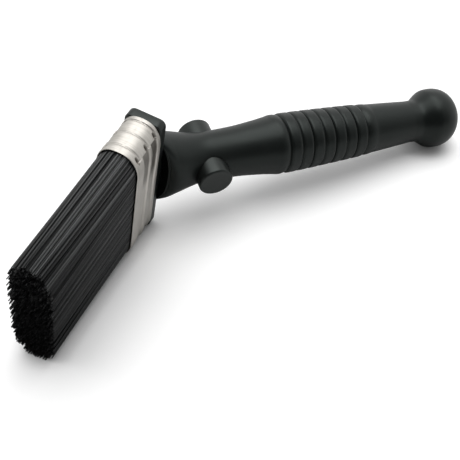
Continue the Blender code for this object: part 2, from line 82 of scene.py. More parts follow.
right = EYE_RIGHT.normalized()
back = right.cross(EYE_UP).normalized()
turn = Matrix((right, back.cross(right), back)).transposed().to_4x4()
camera = bpy.data.objects.new("camera", bpy.data.cameras.new("camera"))
bpy.context.scene.collection.objects.link(camera)
camera.matrix_world = brush @ Matrix.Translation(EYE) @ turn
camera.data.lens = LENS
camera.data.sensor_width = SENSOR
camera.data.clip_start = NEAR_CLIP
bpy.context.scene.camera = camera
bpy.context.scene.view_settings.view_transform = "Standard"

# Booth: a bench under one broad lamp overhead, in a tent that is white behind and dark towards the
# camera. The bench is white to the camera and a greyer white to the brush, which darkens its underside.
# It keeps the soft shadow, deepened close to the brush by painted shadow, and all beyond looks white.
BENCH_HALF = 6.0
BENCH_WHITE = 0.93
BENCH_LIFT = 0.18
BENCH_BOUNCE = 0.70
CONTACT_REACH = 0.008
PAINTED_CONTACT_SHADE = 0.60
CONTACT_SAMPLES = 16
TENT_TOWARD = Vector((0.50, 0.86, 0.0))
TENT_EDGE = (-0.55, 0.30)
TENT_TONE = (0.03, 1.0)
TENT_FILL_SHARE = 0.9
LAMP_FROM = Vector((0.10, 0.10, 0.99))
LAMP_WIDTH = radians(60)
LAMP_POWER = 1.9


def add(tree, kind, inputs=(), **settings):
    """Add a node, set its properties, then set or link its inputs by name or number."""
    node = tree.nodes.new(kind)
    for key, value in settings.items():
        setattr(node, key, value)
    for key, value in dict(inputs).items():
        if isinstance(value, bpy.types.NodeSocket):
            tree.links.new(value, node.inputs[key])
        else:
            node.inputs[key].default_value = value
    return node


def reckon(tree, operation, *values, clamp=False):
    """One step of arithmetic on numbers and sockets."""
    step = add(tree, "ShaderNodeMath", dict(enumerate(values)), operation=operation, use_clamp=clamp)
    return step.outputs[0]


def ramp(tree, factor, low, high, start=0.0, end=1.0, soft=False):
    """Spread a mask over two values, between its own low and high marks."""
    marks = {"Value": factor, "From Min": start, "From Max": end, "To Min": low, "To Max": high}
    curve = "SMOOTHSTEP" if soft else "LINEAR"
    return add(tree, "ShaderNodeMapRange", marks, interpolation_type=curve).outputs[0]


def new_material(name):
    """An empty node material, with its principled shader ready to be fed."""
    material = bpy.data.materials.new(name)
    material.use_nodes = True
    return material, material.node_tree, material.node_tree.nodes["Principled BSDF"]


bench_mesh = bpy.data.meshes.new("bench")
corners = [(x * BENCH_HALF, y * BENCH_HALF, 0) for x, y in ((-1, -1), (1, -1), (1, 1), (-1, 1))]
bench_mesh.from_pydata(corners, [], [(0, 1, 2, 3)])
bench = bpy.data.objects.new("bench", bench_mesh)
bpy.context.scene.collection.objects.link(bench)
bench_white, tree, shader = new_material("bench_white")
shader.inputs["Roughness"].default_value = 1.0
shader.inputs["Specular IOR Level"].default_value = 0.0
shader.inputs["Emission Color"].default_value = (1, 1, 1, 1)
rays = add(tree, "ShaderNodeLightPath")
shade = ramp(tree, rays.outputs["Is Camera Ray"], BENCH_BOUNCE, BENCH_WHITE)
# Painted shadow: within a short reach of the brush the bench's colour and glow are darkened.
near = add(tree, "ShaderNodeAmbientOcclusion", {"Distance": CONTACT_REACH}, samples=CONTACT_SAMPLES)
shade = reckon(tree, "MULTIPLY", shade, ramp(tree, near.outputs["AO"], PAINTED_CONTACT_SHADE, 1.0))
grey = add(tree, "ShaderNodeCombineXYZ", {0: shade, 1: shade, 2: shade})
tree.links.new(grey.outputs[0], shader.inputs["Base Color"])
seen = reckon(tree, "MAXIMUM", rays.outputs["Is Camera Ray"], rays.outputs["Is Transmission Ray"])
lift = reckon(tree, "MULTIPLY", reckon(tree, "MULTIPLY", seen, BENCH_LIFT), near.outputs["AO"])
tree.links.new(lift, shader.inputs["Emission Strength"])
bench_mesh.materials.append(bench_white)
bench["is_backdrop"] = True

booth = bpy.data.worlds.new("booth")
booth.use_nodes = True
tree = booth.node_tree
sight = add(tree, "ShaderNodeTexCoord").outputs["Generated"]
toward = add(tree, "ShaderNodeVectorMath", {0: sight, 1: TENT_TOWARD}, operation="DOT_PRODUCT")
tent = ramp(tree, toward.outputs["Value"], *TENT_TONE, *TENT_EDGE, soft=True)
rays = add(tree, "ShaderNodeLightPath")
seen = reckon(tree, "MAXIMUM", rays.outputs["Is Camera Ray"], rays.outputs["Is Transmission Ray"])
walls = reckon(tree, "MULTIPLY", tent, ramp(tree, rays.outputs["Is Glossy Ray"], TENT_FILL_SHARE, 1.0))
strength = reckon(tree, "MAXIMUM", walls, seen)
tree.links.new(strength, tree.nodes["Background"].inputs["Strength"])
tree.nodes["Background"].inputs["Color"].default_value = (1, 1, 1, 1)
bpy.context.scene.world = booth

lamp = bpy.data.objects.new("overhead_lamp", bpy.data.lights.new("overhead_lamp", "SUN"))
bpy.context.scene.collection.objects.link(lamp)
lamp.data.energy = LAMP_POWER
lamp.data.angle = LAMP_WIDTH
lamp.rotation_euler = LAMP_FROM.to_track_quat("Z", "Y").to_euler()

# Core, cross pin and dowels: the rigid spine inside the soft grip, in plain moulded plastic, and
# the drawn steel that pins it. They stay as the frame has them, and the sleeve covers them.
CORE_DARK = (0.05, 0.05, 0.052)
CORE_GREY = (0.060, 0.060, 0.062)
STEEL_GREY = (0.50, 0.50, 0.51)
STEEL_SHADE = 0.8
PLASTIC_SHINE = 0.27
PLASTIC_TINT = (0.90, 1.0, 0.955)
SMUDGE_SIZE = 0.018
GRAIN_STRENGTH = 0.35
NOISE_SPREAD = (0.35, 0.65)


def new_group(name, kind, inputs, outputs):
    """A node group with named sockets, then the sockets that it is given and those of its result."""
    tree = bpy.data.node_groups.new(name, kind)
    for label, socket, value in inputs:
        item = tree.interface.new_socket(label, in_out="INPUT", socket_type=socket)
        if value is not None:
            item.default_value = value
    for label, socket in outputs:
        tree.interface.new_socket(label, in_out="OUTPUT", socket_type=socket)
    return tree, tree.nodes.new("NodeGroupInput").outputs, tree.nodes.new("NodeGroupOutput").inputs


def noise(tree, place, scale, detail, roughness):
    """Soft noise at a place, as a mask."""
    inputs = {"Vector": place, "Scale": scale, "Detail": detail, "Roughness": roughness}
    return add(tree, "ShaderNodeTexNoise", inputs).outputs[0]


def moulded_grain():
    """Fine spark-eroded grain and broad handling smudges, from a place on the piece."""
    tree, given, result = new_group(
        "moulded_grain", "ShaderNodeTree",
        (("Place", "NodeSocketVector", None), ("Grain Size", "NodeSocketFloat", 0.0004),
         ("Smudge Size", "NodeSocketFloat", 0.02)),
        (("Height", "NodeSocketFloat"), ("Grain", "NodeSocketFloat"), ("Smudge", "NodeSocketFloat")),
    )
    place = given["Place"]
    fine = reckon(tree, "DIVIDE", 1.0, given["Grain Size"])
    broad = reckon(tree, "DIVIDE", 1.0, given["Smudge Size"])
    grain = noise(tree, place, fine, detail=2.0, roughness=0.6)
    smudge = noise(tree, place, broad, detail=4.0, roughness=0.55)
    tree.links.new(grain, result["Height"])
    tree.links.new(grain, result["Grain"])
    tree.links.new(smudge, result["Smudge"])
    return tree


GRAIN = moulded_grain()


def drawn_lines():
    """Long fine scratches that run one way, as drawing and brushing leave them."""
    tree, given, result = new_group(
        "drawn_lines", "ShaderNodeTree",
        (("Place", "NodeSocketVector", None), ("Line Width", "NodeSocketFloat", 0.0002),
         ("Line Length", "NodeSocketFloat", 0.02)),
        (("Height", "NodeSocketFloat"), ("Streak", "NodeSocketFloat"), ("Cloud", "NodeSocketFloat")),
    )
    place = given["Place"]
    across = reckon(tree, "DIVIDE", 1.0, given["Line Width"])
    along = reckon(tree, "DIVIDE", 1.0, given["Line Length"])
    stretch = add(tree, "ShaderNodeCombineXYZ", {0: along, 1: across, 2: across}).outputs[0]
    drawn = add(tree, "ShaderNodeVectorMath", {0: place, 1: stretch}, operation="MULTIPLY").outputs[0]
    lines = noise(tree, drawn, 1.0, detail=3.0, roughness=0.7)
    cloud = noise(tree, place, along, detail=3.0, roughness=0.6)
    tree.links.new(lines, result["Height"])
    tree.links.new(lines, result["Streak"])
    tree.links.new(cloud, result["Cloud"])
    return tree


LINES = drawn_lines()


def use_group(tree, group, source, **values):
    """Place a shared group in a material, fed with the piece's own coordinates."""
    node = add(tree, "ShaderNodeGroup", node_tree=group)
    tree.links.new(source, node.inputs["Place"])
    for key, value in values.items():
        node.inputs[key.replace("_", " ")].default_value = value
    return node


def tint(tree, factor, dark, light):
    """Mix two colours by a mask. Each is a plain colour or comes from a node."""
    colours = [part if isinstance(part, bpy.types.NodeSocket) else (*part, 1) for part in (dark, light)]
    return add(tree, "ShaderNodeMix", {0: factor, 6: colours[0], 7: colours[1]}, data_type="RGBA").outputs[2]


def paint(tree, shader, colour, roughness):
    """Feed a surface's colour and roughness."""
    tree.links.new(colour, shader.inputs["Base Color"])
    tree.links.new(roughness, shader.inputs["Roughness"])


def moulded_plastic(name, dark, light, *, rough, gloss, grain, depth, shine=PLASTIC_SHINE):
    """Moulded plastic: a grained skin whose gloss wanders with handling."""
    material, tree, shader = new_material(name)
    shader.inputs["Specular IOR Level"].default_value = shine
    shader.inputs["Specular Tint"].default_value = (*PLASTIC_TINT, 1)
    place = add(tree, "ShaderNodeTexCoord").outputs["Object"]
    skin = use_group(tree, GRAIN, place, Grain_Size=grain, Smudge_Size=SMUDGE_SIZE)
    wear = ramp(tree, skin.outputs["Smudge"], gloss, rough, *NOISE_SPREAD)
    paint(tree, shader, tint(tree, skin.outputs["Grain"], dark, light), wear)
    raised = {"Strength": GRAIN_STRENGTH, "Distance": depth, "Height": skin.outputs["Height"]}
    tree.links.new(add(tree, "ShaderNodeBump", raised).outputs[0], shader.inputs["Normal"])
    return material


def drawn_steel(name, grey, *, gloss, rough):
    """Bright drawn steel rod, with fine lines along it."""
    material, tree, shader = new_material(name)
    place = add(tree, "ShaderNodeTexCoord").outputs["Object"]
    skin = use_group(tree, LINES, place, Line_Width=0.0003, Line_Length=0.006)
    dark = tuple(STEEL_SHADE * part for part in grey)
    wear = ramp(tree, skin.outputs["Cloud"], gloss, rough, *NOISE_SPREAD)
    paint(tree, shader, tint(tree, skin.outputs["Streak"], dark, grey), wear)
    shader.inputs["Metallic"].default_value = 1.0
    return material


def dress(node, material):
    """Give a kept node of the frame its finish."""
    kept = frame["nodes"][node]
    kept.data.materials.clear()
    kept.data.materials.append(material)


core_plastic = moulded_plastic(
    "core_plastic", CORE_DARK, CORE_GREY, rough=0.58, gloss=0.46, grain=0.0005, depth=0.00003
)
dress("handle_core", core_plastic)
pin_steel = drawn_steel("pin_steel", STEEL_GREY, gloss=0.26, rough=0.38)
for node in ("peg_pin", "head_dowel_upper", "head_dowel_lower"):
    dress(node, pin_steel)

# Grip: one soft sleeve in black rubber, moulded over the core from the slanting face at the head to
# the ball end, which flares out of the taper. Its seam face at the head is a dull near-black, as
# painted shade, and seven rounded ribs stand where the palm holds it. The two pegs sit in a hole
# through the neck.
BEND = radians(45)
GRIP_LENGTH = 0.16457
SEAT_GAP = 0.0003
CORE_END = 0.1180
CORE_RADIUS = 0.0066
CORE_ROOT = (0.0130, 0.0052)
NECK_ROOT = (0.0206, 0.0086)
NECK_RADIUS = 0.0113
NECK_POWER = 2.3
NECK_SWELL = 0.0020
LEAN_POWER = 3.0
FALL_POWER = 0.8
FILL_POWER = 3.0
NECK_LIP = (0.0208, 0.0095)
NECK_LIP_LEAN = 0.86
NECK_LIP_ROUND = 0.0004
NECK_LIP_DEGREES = (0, 40, 80)
NECK_ROUNDING = 3
ROOT_STEPS, NECK_STEPS = 8, 44
SEAM_PAINTED_SHADE = (0.0006, 0.0007, 0.0007)
SWELL_PLACE, SWELL_RADIUS = 0.0440, 0.0118
SWELL_RISE = 0.55
RIB_START, RIB_START_RADIUS = 0.0672, 0.0139
RIB_RUN, RIB_END_RADIUS = 0.0416, 0.0122
RIB_COUNT = 7
RIB_CREST = 0.0005
RIB_DEPTH = 0.0011
GROOVE_POWER = 7.0
DIP_POWER = 6.0
SHOULDER_RISE = 2.4
BODY_STEP, RIB_STEP = 0.0012, 0.00034
BALL_NECK_PLACE, BALL_NECK_RADIUS = 0.1380, 0.0104
BALL_RADIUS, BALL_HALF = 0.01485, 0.0129
BALL_FLARE = (
    (0.1380, 0.01040), (0.1412, 0.01044), (0.1423, 0.01062), (0.1434, 0.01112), (0.1447, 0.01195),
    (0.1460, 0.01285), (0.1472, 0.01365), (0.1484, 0.01430), (0.1500, 0.01472), (0.1523, 0.01485),
)
BALL_FLARE_STEP = 0.0005
BALL_FRONT_POWER = 2.3
BALL_SHIFT = 0.0003
BALL_DEGREES = (89.99, 85, 80, 74, 68, 62, 56, 49, 42, 35, 28, 21, 15, 10, 6, 2.5)
PEG_RADIUS = 0.0080
PEG_HOLE_REACH = 0.02
AROUND = 96
SHARP_EDGE = radians(32)
RUBBER_DARK = (0.0050, 0.0062, 0.0059)
RUBBER_LIGHT = (0.0085, 0.0101, 0.0096)


def blend(first, last, share):
    """A value between two others."""
    return first + (last - first) * share


def smooth(share):
    """A share from nought to one that starts and ends gently."""
    share = min(1.0, max(0.0, share))
    return share * share * (3 - 2 * share)


def squared(part, power):
    """A cosine or sine pushed outwards, as a superellipse has it."""
    return copysign(abs(part) ** (2 / power), part)


def oval(half_wide, half_high, power, steps):
    """Points of a superellipse, as (across, up) pairs."""
    points = []
    for i in range(steps):
        c, s = cos(2 * pi * i / steps), sin(2 * pi * i / steps)
        points.append((half_wide * squared(c, power), half_high * squared(s, power)))
    return points


def skin_rings(name, rings, place=Matrix.Identity(4), loop=False):
    """A closed body skinned over rings of equal count, then put in its place."""
    bm = bmesh.new()
    rows = [[bm.verts.new(place @ Vector(point)) for point in ring] for ring in rings]
    pairs = list(zip(rows, rows[1:])) + ([(rows[-1], rows[0])] if loop else [])
    for lower, upper in pairs:
        for i in range(len(lower)):
            j = (i + 1) % len(lower)
            bm.faces.new((lower[i], lower[j], upper[j], upper[i]))
    if not loop:
        bm.faces.new(rows[0])
        bm.faces.new(rows[-1])
    bmesh.ops.recalc_face_normals(bm, faces=bm.faces)
    mesh = bpy.data.meshes.new(name)
    bm.to_mesh(mesh)
    bm.free()
    mesh.shade_smooth()
    piece = bpy.data.objects.new(name, mesh)
    bpy.context.scene.collection.objects.link(piece)
    return piece


def cut_by(piece, cutter):
    """Take the cutter's shape out of the piece."""
    cut = piece.modifiers.new("cut", "BOOLEAN")
    cut.operation = "DIFFERENCE"
    cut.solver = "EXACT"
    cut.object = cutter


def settle(piece, name, sharp=SHARP_EDGE, cutters=()):
    """Turn a piece with its modifiers into one plain mesh, and take its cutters away."""
    bpy.context.view_layer.update()
    seen = piece.evaluated_get(bpy.context.evaluated_depsgraph_get())
    mesh = bpy.data.meshes.new_from_object(seen)
    mesh.name = name
    for helper in (piece, *cutters):
        bpy.data.objects.remove(helper)
    mesh.set_sharp_from_angle(angle=sharp)
    made = bpy.data.objects.new(name, mesh)
    bpy.context.scene.collection.objects.link(made)
    return made


def rod(name, start, end, radius, steps=64):
    """A straight round rod between two points, for cutting holes."""
    face = (end - start).normalized().to_track_quat("Z", "Y")
    section = oval(radius, radius, 2, steps)
    rings = [[centre + face @ Vector((x, y, 0)) for x, y in section] for centre in (start, end)]
    return skin_rings(name, rings)


def round_ring(place, radius):
    """A round section of the grip."""
    return [(place, y, z) for y, z in oval(radius, radius, 2, AROUND)]


def neck_ring(share, high, wide, radius, swell, grow, lean=1.0):
    """A section between the slanting face, at no share, and the pegs, where the grip is round."""
    left = 1 - share
    start = SEAT_GAP / cos(BEND) * left
    half_high = blend(high, radius, smooth(share ** FALL_POWER)) + grow
    bulge = swell * 27 / 4 * share * left ** 2
    half_wide = blend(wide, radius, 1 - left ** FILL_POWER) + bulge + grow
    slope = lean * left ** LEAN_POWER
    power = blend(NECK_POWER, 2, min(1, NECK_ROUNDING * share))
    place = start + PEG_PLACE * share
    return [(place - slope * y, y, z) for y, z in oval(half_wide, half_high, power, AROUND)]


def spline(points, x):
    """A smooth curve through (place, radius) marks, with its slope at each from those beside it."""
    for i in range(len(points) - 1):
        if x <= points[i + 1][0] or i == len(points) - 2:
            break
    before, first = points[max(i - 1, 0)], points[i]
    last, after = points[i + 1], points[min(i + 2, len(points) - 1)]
    run = last[0] - first[0]
    slope_first = (last[1] - before[1]) / (last[0] - before[0])
    slope_last = (after[1] - first[1]) / (after[0] - first[0])
    t = (x - first[0]) / run
    return ((2 * t ** 3 - 3 * t ** 2 + 1) * first[1] + (t ** 3 - 2 * t ** 2 + t) * run * slope_first
            + (3 * t ** 2 - 2 * t ** 3) * last[1] + (t ** 3 - t ** 2) * run * slope_last)


bore = CORE_END + SEAT_GAP
rings = [round_ring(bore, CORE_RADIUS + SEAT_GAP)]
for i in range(ROOT_STEPS, -1, -1):
    rings.append(neck_ring(i / ROOT_STEPS, CORE_ROOT[0], CORE_ROOT[1] * cos(BEND), CORE_RADIUS, 0, SEAT_GAP))
rings.append(neck_ring(0, NECK_ROOT[0], NECK_ROOT[1] * cos(BEND), NECK_RADIUS, 0, -NECK_LIP_ROUND))
seam_rings = range(len(rings) - 1, len(rings) + 1)
for degrees in NECK_LIP_DEGREES:
    angle = radians(degrees)
    ring = neck_ring(0, *NECK_LIP, NECK_RADIUS, 0, -NECK_LIP_ROUND * (1 - sin(angle)), NECK_LIP_LEAN)
    rings.append([(x + NECK_LIP_ROUND * (1 - cos(angle)), y, z) for x, y, z in ring])
for i in range(1, NECK_STEPS + 1):
    rings.append(neck_ring(i / NECK_STEPS, *NECK_LIP, NECK_RADIUS, NECK_SWELL, 0, NECK_LIP_LEAN))
rib_lead = RIB_RUN / RIB_COUNT / 2
body = [
    (PEG_PLACE, NECK_RADIUS),
    (SWELL_PLACE, SWELL_RADIUS),
    ((SWELL_PLACE + RIB_START) / 2, blend(SWELL_RADIUS, RIB_START_RADIUS, SWELL_RISE)),
    (RIB_START - rib_lead, RIB_START_RADIUS),
    (RIB_START + RIB_RUN + rib_lead, RIB_END_RADIUS),
    (BALL_NECK_PLACE, BALL_NECK_RADIUS),
]
x = PEG_PLACE + BODY_STEP
while x < BALL_NECK_PLACE - BODY_STEP / 2:
    rings.append(round_ring(x, spline(body, x)))
    ribbed = RIB_START - 2 * rib_lead < x < RIB_START + RIB_RUN + 2 * rib_lead
    x += RIB_STEP if ribbed else BODY_STEP
ball_centre = GRIP_LENGTH - BALL_HALF + BALL_SHIFT
tail = []
while x < ball_centre - BALL_FLARE_STEP / 2:
    tail.append((x, spline(BALL_FLARE, x)))
    x += BALL_FLARE_STEP
for degrees in BALL_DEGREES:
    angle = radians(degrees)
    tail.append((ball_centre + (BALL_HALF - BALL_SHIFT) * cos(angle) ** (2 / BALL_FRONT_POWER),
                 BALL_RADIUS * sin(angle) ** (2 / BALL_FRONT_POWER)))
rings += [round_ring(place, radius) for place, radius in tail]
blank = skin_rings("grip_blank", rings)
seam = blank.data.attributes.new("seam", "FLOAT", "POINT")
for ring in seam_rings:
    for i in range(AROUND):
        seam.data[ring * AROUND + i].value = 1


def rib_tree(material):
    """Raise rounded ribs with narrow grooves on a turned blank that lies along X."""
    tree, given, result = new_group(
        "moulded_ribs", "GeometryNodeTree",
        (("Geometry", "NodeSocketGeometry", None), ("First Groove", "NodeSocketFloat", 0.0),
         ("Ribbed Length", "NodeSocketFloat", 0.04), ("Ribs", "NodeSocketFloat", 7.0),
         ("Crest", "NodeSocketFloat", 0.0005), ("Groove Depth", "NodeSocketFloat", 0.001),
         ("Lead In", "NodeSocketFloat", 0.003)),
        (("Geometry", "NodeSocketGeometry"),),
    )
    calc = partial(reckon, tree)
    place = add(tree, "ShaderNodeSeparateXYZ", {0: add(tree, "GeometryNodeInputPosition").outputs[0]})
    x, y, z = (place.outputs[i] for i in range(3))
    start, run, count = (given[name] for name in ("First Groove", "Ribbed Length", "Ribs"))
    along = calc("DIVIDE", calc("SUBTRACT", x, start), run)
    phase = calc("FRACT", calc("MULTIPLY", along, count))
    off_crest = calc("ABSOLUTE", calc("SUBTRACT", calc("MULTIPLY", phase, 2.0), 1.0))
    fall = calc("POWER", off_crest, GROOVE_POWER)
    rib = calc("SUBTRACT", given["Crest"], calc("MULTIPLY", fall, given["Groove Depth"]))
    inside = calc("MULTIPLY", calc("GREATER_THAN", along, 0.0), calc("LESS_THAN", along, 1.0))
    past = calc("MAXIMUM", calc("SUBTRACT", start, x), calc("SUBTRACT", x, calc("ADD", start, run)))
    lead = calc("SUBTRACT", 1.0, calc("DIVIDE", past, given["Lead In"]), clamp=True)
    shoulder = calc("MULTIPLY", lead, calc("SUBTRACT", 1.0, lead))
    dip = calc("POWER", lead, DIP_POWER)
    shoulder_rise = calc("MULTIPLY", shoulder, calc("MULTIPLY", given["Crest"], SHOULDER_RISE))
    dip_fall = calc("MULTIPLY", dip, calc("SUBTRACT", given["Groove Depth"], given["Crest"]))
    outside = calc("MULTIPLY", calc("SUBTRACT", 1.0, inside), calc("SUBTRACT", shoulder_rise, dip_fall))
    rise = calc("ADD", calc("MULTIPLY", inside, rib), outside)
    radial = add(tree, "ShaderNodeVectorMath",
                 {0: add(tree, "ShaderNodeCombineXYZ", {1: y, 2: z}).outputs[0]}, operation="NORMALIZE")
    move = add(tree, "ShaderNodeVectorMath", {0: radial.outputs[0]}, operation="SCALE")
    tree.links.new(rise, move.inputs["Scale"])
    set_place = add(tree, "GeometryNodeSetPosition",
                    {"Geometry": given["Geometry"], "Offset": move.outputs[0]})
    plain = add(tree, "GeometryNodeRealizeInstances", {"Geometry": set_place.outputs[0]})
    painted = add(tree, "GeometryNodeSetMaterial", {"Geometry": plain.outputs[0], "Material": material})
    tree.links.new(painted.outputs[0], result["Geometry"])
    return tree


def set_inputs(modifier, values):
    """Set a node modifier's inputs, each found by its label and set by its identifier."""
    for item in modifier.node_group.interface.items_tree:
        if item.in_out == "INPUT" and item.name in values:
            modifier[item.identifier] = values[item.name]


soft_rubber = moulded_plastic(
    "soft_grip_rubber", RUBBER_DARK, RUBBER_LIGHT, rough=0.41, gloss=0.34, grain=0.00035, depth=0.00004
)
shader = soft_rubber.node_tree.nodes["Principled BSDF"]
shader.inputs["Sheen Weight"].default_value = 0.03
shader.inputs["Sheen Roughness"].default_value = 0.45
shader.inputs["Sheen Tint"].default_value = (0.86, 1.0, 0.92, 1)

cutters = []
for side in (-1, 1):
    hole_end = Vector((PEG_PLACE, side * PEG_HOLE_REACH, 0))
    cutters.append(rod("peg_hole", Vector((PEG_PLACE, 0, 0)), hole_end, PEG_RADIUS + SEAT_GAP / 2))
    cut_by(blank, cutters[-1])
ribs = blank.modifiers.new("ribs", "NODES")
ribs.node_group = rib_tree(soft_rubber)
set_inputs(ribs, {"First Groove": RIB_START, "Ribbed Length": RIB_RUN, "Ribs": float(RIB_COUNT),
                  "Crest": RIB_CREST, "Groove Depth": RIB_DEPTH, "Lead In": 2 * rib_lead})
grip = settle(blank, "soft_grip", cutters=cutters)
# Painted shade: the seam faces at the head get a near-black, dull material in place of the shade there.
seam_shade_material = moulded_plastic(
    "seam_shadow_rubber", SEAM_PAINTED_SHADE, SEAM_PAINTED_SHADE,
    rough=0.95, gloss=0.85, grain=0.0004, depth=0.00003, shine=0.05,
)
grip.data.materials.append(seam_shade_material)
seam = [point.value for point in grip.data.attributes["seam"].data]
for face in grip.data.polygons:
    if all(seam[i] > 0.5 for i in face.vertices):
        face.material_index = 1
grip.data.transform(brush)
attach(grip, "root")
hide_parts("grip_sleeve")

# Rest pegs: two short studs of moulded black plastic, with a small round at the rim and a shallow
# dish in the end, pushed onto the cross pin through the neck.
PEG_REACH = 0.01637
PEG_SEAT = 0.0072
PEG_RIM = 0.0009
PEG_DISH = 0.00015
PIN_SOCKET = 0.0045
PIN_RADIUS = 0.0030
PEG_FOOT = 0.0005
DISH_SHARES = (0.96, 0.9, 0.7, 0.45, 0.2, 0.05)
DISH_POWER = 4
PEG_AROUND = 64
PLASTIC_DARK = (0.005, 0.0060, 0.0056)
PLASTIC_LIGHT = (0.009, 0.0101, 0.0094)

black_plastic = moulded_plastic(
    "black_plastic", PLASTIC_DARK, PLASTIC_LIGHT,
    rough=0.40, gloss=0.31, grain=0.0004, depth=0.00003, shine=0.37,
)
peg_profile = [(PEG_SEAT + PIN_SOCKET, PIN_RADIUS + SEAT_GAP), (PEG_SEAT, PIN_RADIUS + SEAT_GAP)]
peg_profile += [(PEG_SEAT, PEG_RADIUS), (PEG_SEAT + PEG_FOOT, PEG_RADIUS)]
for degrees in range(0, 91, 15):
    angle = radians(degrees)
    peg_profile.append((PEG_REACH - PEG_RIM * (1 - sin(angle)), PEG_RADIUS - PEG_RIM * (1 - cos(angle))))
for share in DISH_SHARES:
    radius = (PEG_RADIUS - PEG_RIM) * share
    peg_profile.append((PEG_REACH - PEG_DISH * (1 - share ** DISH_POWER), radius))
for name, side in (("rest_peg_near", -1), ("rest_peg_far", 1)):
    rings = []
    for out, radius in peg_profile:
        rings.append([(PEG_PLACE + x, side * out, z) for x, z in oval(radius, radius, 2, PEG_AROUND)])
    peg = skin_rings(name + "_stud", rings, brush)
    peg.data.set_sharp_from_angle(angle=SHARP_EDGE)
    peg.data.materials.append(black_plastic)
    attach(peg, "root")
    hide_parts(name)

# Head block: the black plastic end piece between grip and ferrule. Its plate shows round the
# ferrule's back edge, and its spigot fills the ferrule as far as the resin.
HEAD_OFFSET = 0.0004
BLOCK_HALF = (0.0335, 0.0086)
BLOCK_DEPTH = 0.0057
BLOCK_CORNER = 0.0034
BLOCK_EDGE = 0.0009
BLOCK_ROUNDING = 0.9
BLOCK_AROUND = 128
SPIGOT_LENGTH = 0.0082
SPIGOT_EDGE = 0.0004
TENON = (0.0105, 0.0034)
TENON_POWER = 6
TENON_END = 0.0115
SLOT_START = -0.004
SLOT_AROUND = 64
DOWEL_RADIUS = 0.0013
DOWEL_PLACE = 0.0058
DOWEL_CUT = 0.015
DOWEL_AROUND = 32
FERRULE_LENGTH = 0.0203
FERRULE_HALF = (0.03498, 0.0092)
MOUTH_HALF = (0.0336, 0.0098)
CROWN = 0.0122
CROWN_POWER = 2.4
SHEET = 0.0005
WALL_IN = 0.0006

reach = Vector((-cos(BEND), -sin(BEND), 0))
wide = Vector((0, 0, 1))
across = reach.cross(wide)
head = brush @ Matrix.Translation(HEAD_OFFSET * across) @ Matrix((wide, across, reach)).transposed().to_4x4()


def crowned(angle, place, grow=0.0):
    """A point of the ferrule's outline at an angle round it, as (wide, across)."""
    share = (place - BLOCK_DEPTH) / FERRULE_LENGTH
    half_wide, half_thick = (blend(a, b, share) for a, b in zip(FERRULE_HALF, MOUTH_HALF))
    c, s = cos(angle), sin(angle)
    end = half_wide - CROWN
    return (copysign(end, c) + (CROWN + grow) * squared(c, CROWN_POWER),
            (half_thick + grow) * squared(s, CROWN_POWER))


def plate_point(angle, inset):
    """A point of the block's rounded rectangle at the same angle round it."""
    c, s = cos(angle), sin(angle)
    corner = BLOCK_CORNER - inset
    return (copysign(BLOCK_HALF[0] - BLOCK_CORNER, c) + corner * copysign(abs(c) ** BLOCK_ROUNDING, c),
            copysign(BLOCK_HALF[1] - BLOCK_CORNER, s) + corner * copysign(abs(s) ** BLOCK_ROUNDING, s))


block_angles = [2 * pi * (i + 0.5) / BLOCK_AROUND for i in range(BLOCK_AROUND)]
block_rings = []
for degrees in range(0, 91, 18):
    angle = radians(degrees)
    inset = BLOCK_EDGE * (1 - sin(angle))
    block_rings.append((BLOCK_EDGE * (1 - cos(angle)), inset))
for degrees in range(0, 91, 30):
    angle = radians(degrees)
    inset = BLOCK_EDGE / 2 * (1 - cos(angle))
    block_rings.append((BLOCK_DEPTH - SEAT_GAP - BLOCK_EDGE / 2 * (1 - sin(angle)), inset))
rings = [[(*plate_point(a, inset), place) for a in block_angles] for place, inset in block_rings]
fit = -(SHEET + WALL_IN + SEAT_GAP)
spigot_end = BLOCK_DEPTH + SPIGOT_LENGTH
spigot = ((BLOCK_DEPTH - SEAT_GAP, fit), (spigot_end - SPIGOT_EDGE, fit), (spigot_end, fit - SPIGOT_EDGE))
rings += [[(*crowned(a, place, grow), place) for a in block_angles] for place, grow in spigot]
blank = skin_rings("block_blank", rings)
slot = oval(TENON[1] + SEAT_GAP, TENON[0] + SEAT_GAP, TENON_POWER, SLOT_AROUND)
slot_rings = [[(w, t, place) for t, w in slot] for place in (SLOT_START, TENON_END + SEAT_GAP)]
cutters = [skin_rings("slot_cutter", slot_rings)]
dowel_place = (BLOCK_DEPTH + TENON_END) / 2
for side in (-1, 1):
    start, end = (Vector((side * DOWEL_PLACE, depth, dowel_place)) for depth in (-DOWEL_CUT, DOWEL_CUT))
    cutters.append(rod("slot_cutter", start, end, DOWEL_RADIUS + SEAT_GAP, DOWEL_AROUND))
for cutter in cutters:
    cut_by(blank, cutter)
block = settle(blank, "end_block", cutters=cutters)
block.data.transform(head)
block.data.materials.clear()
block.data.materials.append(black_plastic)
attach(block, "root")
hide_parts("head_block")

